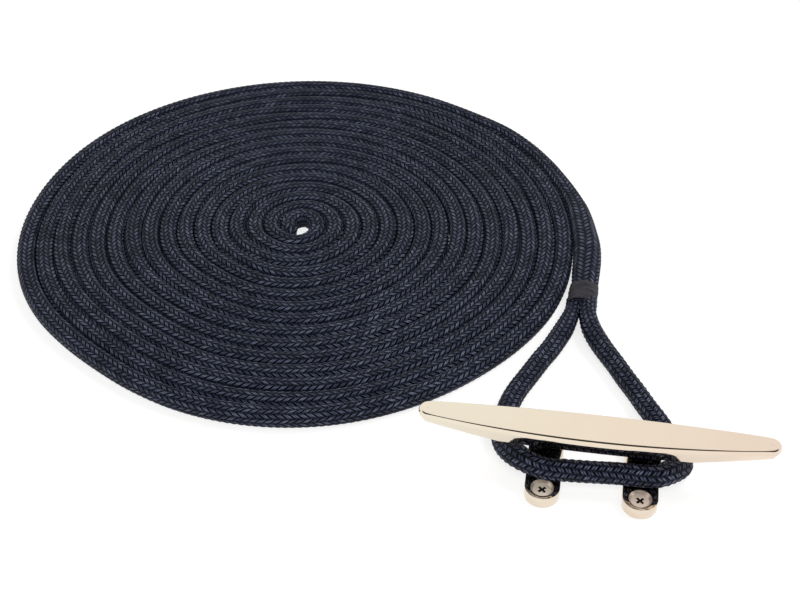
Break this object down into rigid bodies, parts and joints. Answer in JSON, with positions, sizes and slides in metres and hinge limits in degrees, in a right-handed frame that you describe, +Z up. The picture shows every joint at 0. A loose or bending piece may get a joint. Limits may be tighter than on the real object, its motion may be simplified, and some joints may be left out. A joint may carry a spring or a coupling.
{
  "type": "coiled dock line",
  "caption": "Double-braid dock line wound in a flat spiral coil, its sleeved eye splice dropped over an open-base mooring cleat with countersunk deck screws.",
  "frame": {"origin": "centre of the cleat's four deck screw holes, on the deck, at the underside of its feet", "axes": "+X along the cleat's bar, +Y from the cleat towards the coil, +Z up from the deck"},
  "size_m": [0.5164, 0.431, 0.0383],
  "materials": {
    "line_cover": "braided navy nylon, slight sheen",
    "line_core": "undyed braided nylon",
    "sleeve": "matte shrunk sleeve",
    "cleat_steel": "polished stainless steel",
    "screw_steel": "stainless steel"
  },
  "bodies": {
    "root": {"line_coil": "line_cover", "spliced_cover": "line_cover", "spliced_core": "line_core", "buried_tail": "line_core", "eye_cover": "line_cover", "eye_core": "line_core", "throat_sleeve": "sleeve", "cleat_bar": "cleat_steel", "cleat_leg_left": "cleat_steel", "cleat_leg_right": "cleat_steel", "cleat_screws": "screw_steel"}
  },
  "joints": []
}
